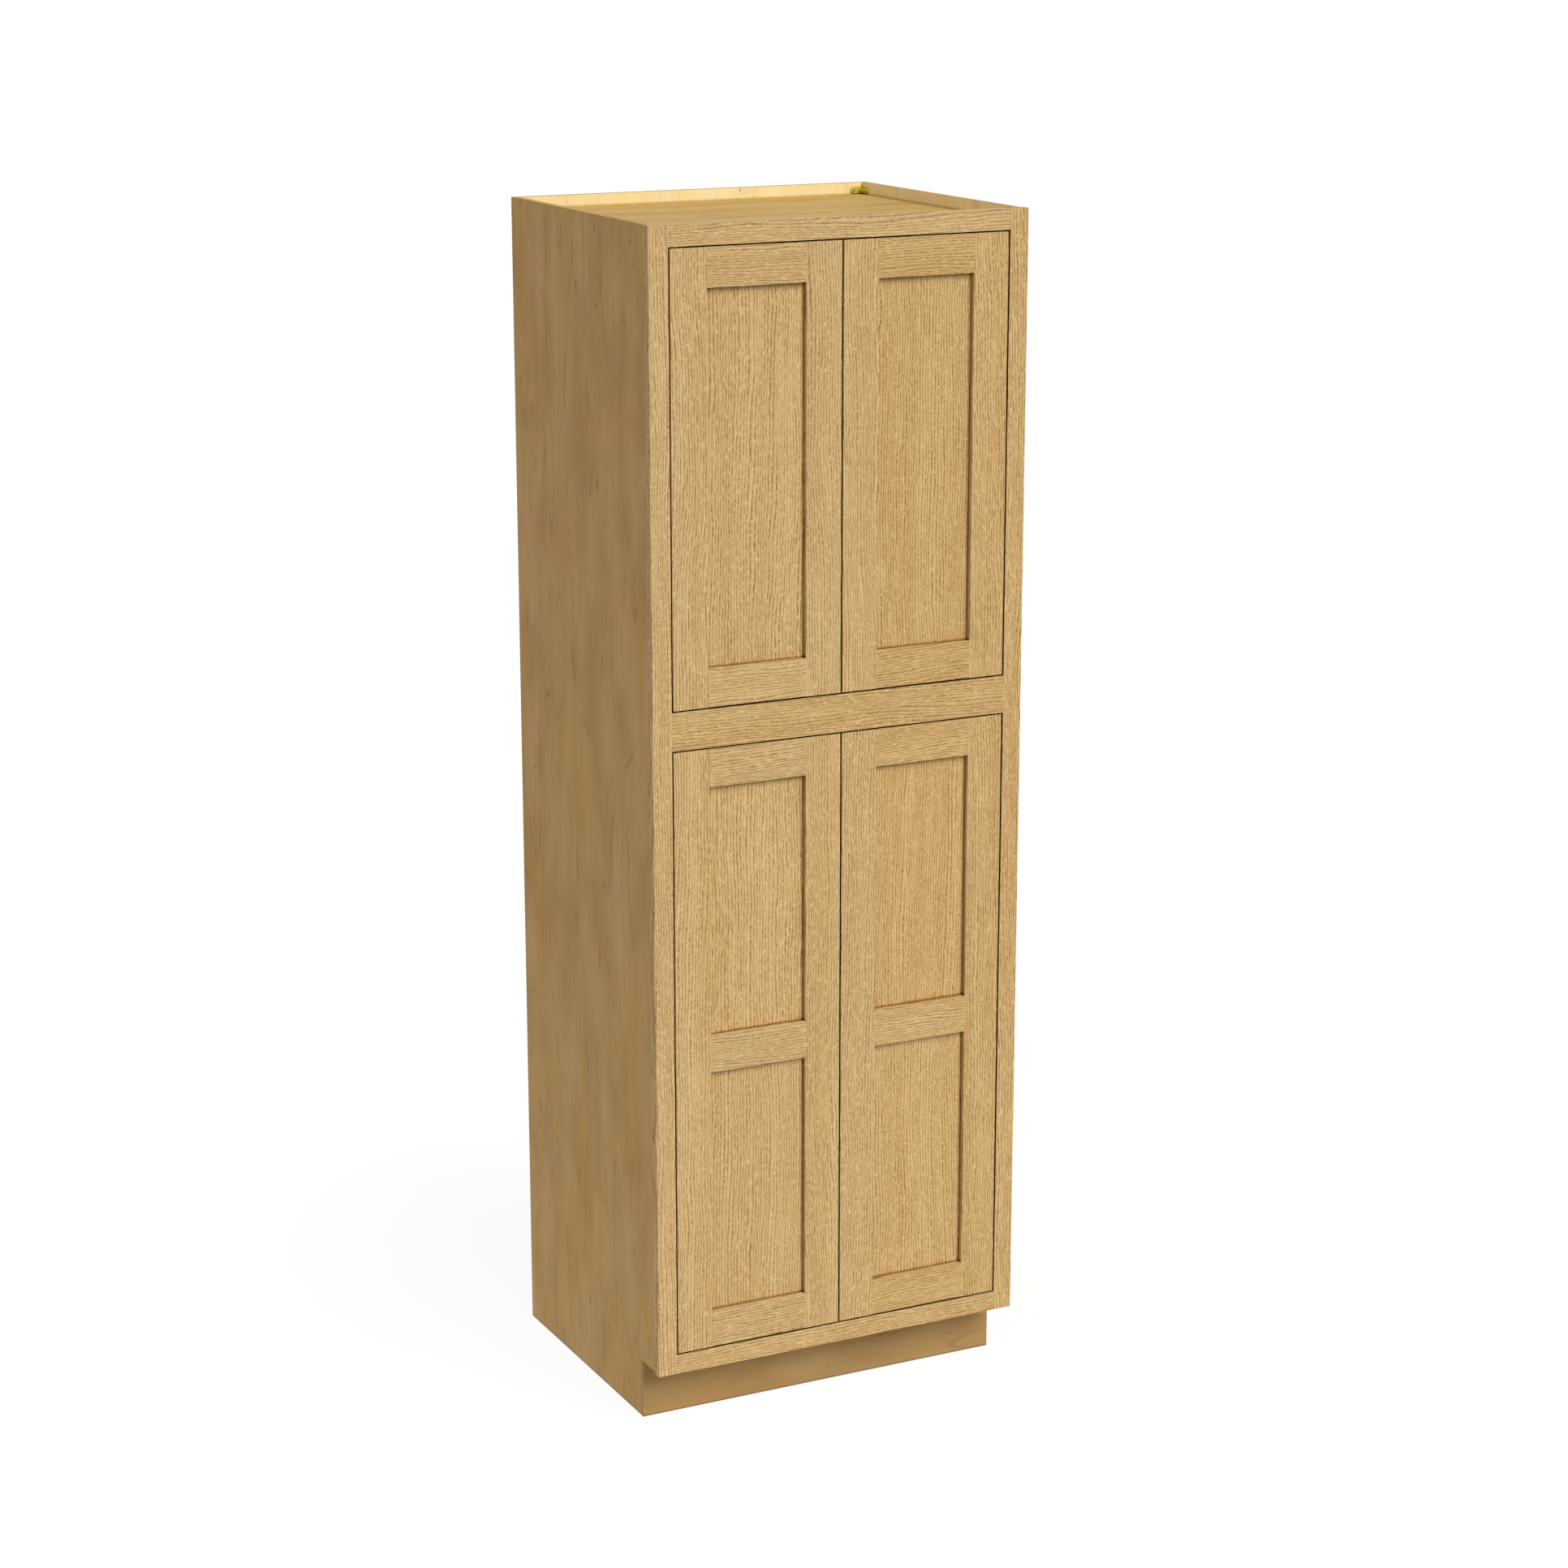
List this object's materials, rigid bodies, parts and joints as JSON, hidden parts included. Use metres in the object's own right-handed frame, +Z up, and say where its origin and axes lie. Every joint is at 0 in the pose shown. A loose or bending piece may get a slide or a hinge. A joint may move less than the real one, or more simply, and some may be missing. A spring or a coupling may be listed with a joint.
{
  "type": "pantry cabinet",
  "caption": "Tall face-frame pantry cabinet with flush recessed-panel doors over and under a middle rail, loose shelves inside and a toe kick.",
  "frame": {"origin": "middle of the footprint on the floor", "axes": "+X to the right seen from the front, +Y to the back, +Z up; the doors face -Y"},
  "size_m": [0.762, 0.6286, 2.2606],
  "materials": {
    "oak": "clear satin oak with open grain",
    "oak_veneer": "clear satin oak veneer",
    "plywood": "clear satin birch veneer plywood",
    "steel": "zinc plated",
    "nylon": "natural nylon",
    "catch_plastic": "brown moulded plastic",
    "brace_plastic": "olive moulded plastic"
  },
  "bodies": {
    "cabinet": {"back_panel": "plywood", "bottom_panel": "plywood", "fixed_shelf": "plywood", "frame_bottom_rail": "oak", "frame_left_stile": "oak", "frame_middle_rail": "oak", "frame_right_stile": "oak", "frame_top_rail": "oak", "left_corner_brace": "brace_plastic", "left_side_panel": "plywood", "lower_magnetic_catch": "catch_plastic", "lower_shelf_1": "plywood", "lower_shelf_2": "plywood", "pivot_bushings": "nylon", "right_corner_brace": "brace_plastic", "right_side_panel": "plywood", "shelf_pins": "steel", "toe_board": "plywood", "top_panel": "plywood", "upper_magnetic_catch": "catch_plastic", "upper_shelf_1": "plywood", "upper_shelf_2": "plywood"},
    "upper_left_door": {"upper_left_door_bottom_rail": "oak", "upper_left_door_hinge_stile": "oak", "upper_left_door_meeting_stile": "oak", "upper_left_door_panel": "oak_veneer", "upper_left_door_pivot_pins": "steel", "upper_left_door_strike_plate": "steel", "upper_left_door_top_rail": "oak"},
    "upper_right_door": {"upper_right_door_bottom_rail": "oak", "upper_right_door_hinge_stile": "oak", "upper_right_door_meeting_stile": "oak", "upper_right_door_panel": "oak_veneer", "upper_right_door_pivot_pins": "steel", "upper_right_door_strike_plate": "steel", "upper_right_door_top_rail": "oak"},
    "lower_left_door": {"lower_left_door_bottom_rail": "oak", "lower_left_door_hinge_stile": "oak", "lower_left_door_lower_panel": "oak_veneer", "lower_left_door_meeting_stile": "oak", "lower_left_door_middle_rail": "oak", "lower_left_door_pivot_pins": "steel", "lower_left_door_strike_plate": "steel", "lower_left_door_top_rail": "oak", "lower_left_door_upper_panel": "oak_veneer"},
    "lower_right_door": {"lower_right_door_bottom_rail": "oak", "lower_right_door_hinge_stile": "oak", "lower_right_door_lower_panel": "oak_veneer", "lower_right_door_meeting_stile": "oak", "lower_right_door_middle_rail": "oak", "lower_right_door_pivot_pins": "steel", "lower_right_door_strike_plate": "steel", "lower_right_door_top_rail": "oak", "lower_right_door_upper_panel": "oak_veneer"}
  },
  "joints": [
    {"name": "upper_left_door_swing", "type": "hinge", "parent": "cabinet", "child": "upper_left_door", "pos_m": [-0.3281, -0.30833, 1.395], "axis": [0, 0, -1], "range_deg": [0, 110]},
    {"name": "upper_right_door_swing", "type": "hinge", "parent": "cabinet", "child": "upper_right_door", "pos_m": [0.3281, -0.30833, 1.395], "axis": [0, 0, 1], "range_deg": [0, 110]},
    {"name": "lower_left_door_swing", "type": "hinge", "parent": "cabinet", "child": "lower_left_door", "pos_m": [-0.3281, -0.30833, 0.1552], "axis": [0, 0, -1], "range_deg": [0, 110]},
    {"name": "lower_right_door_swing", "type": "hinge", "parent": "cabinet", "child": "lower_right_door", "pos_m": [0.3281, -0.30833, 0.1552], "axis": [0, 0, 1], "range_deg": [0, 110]}
  ]
}
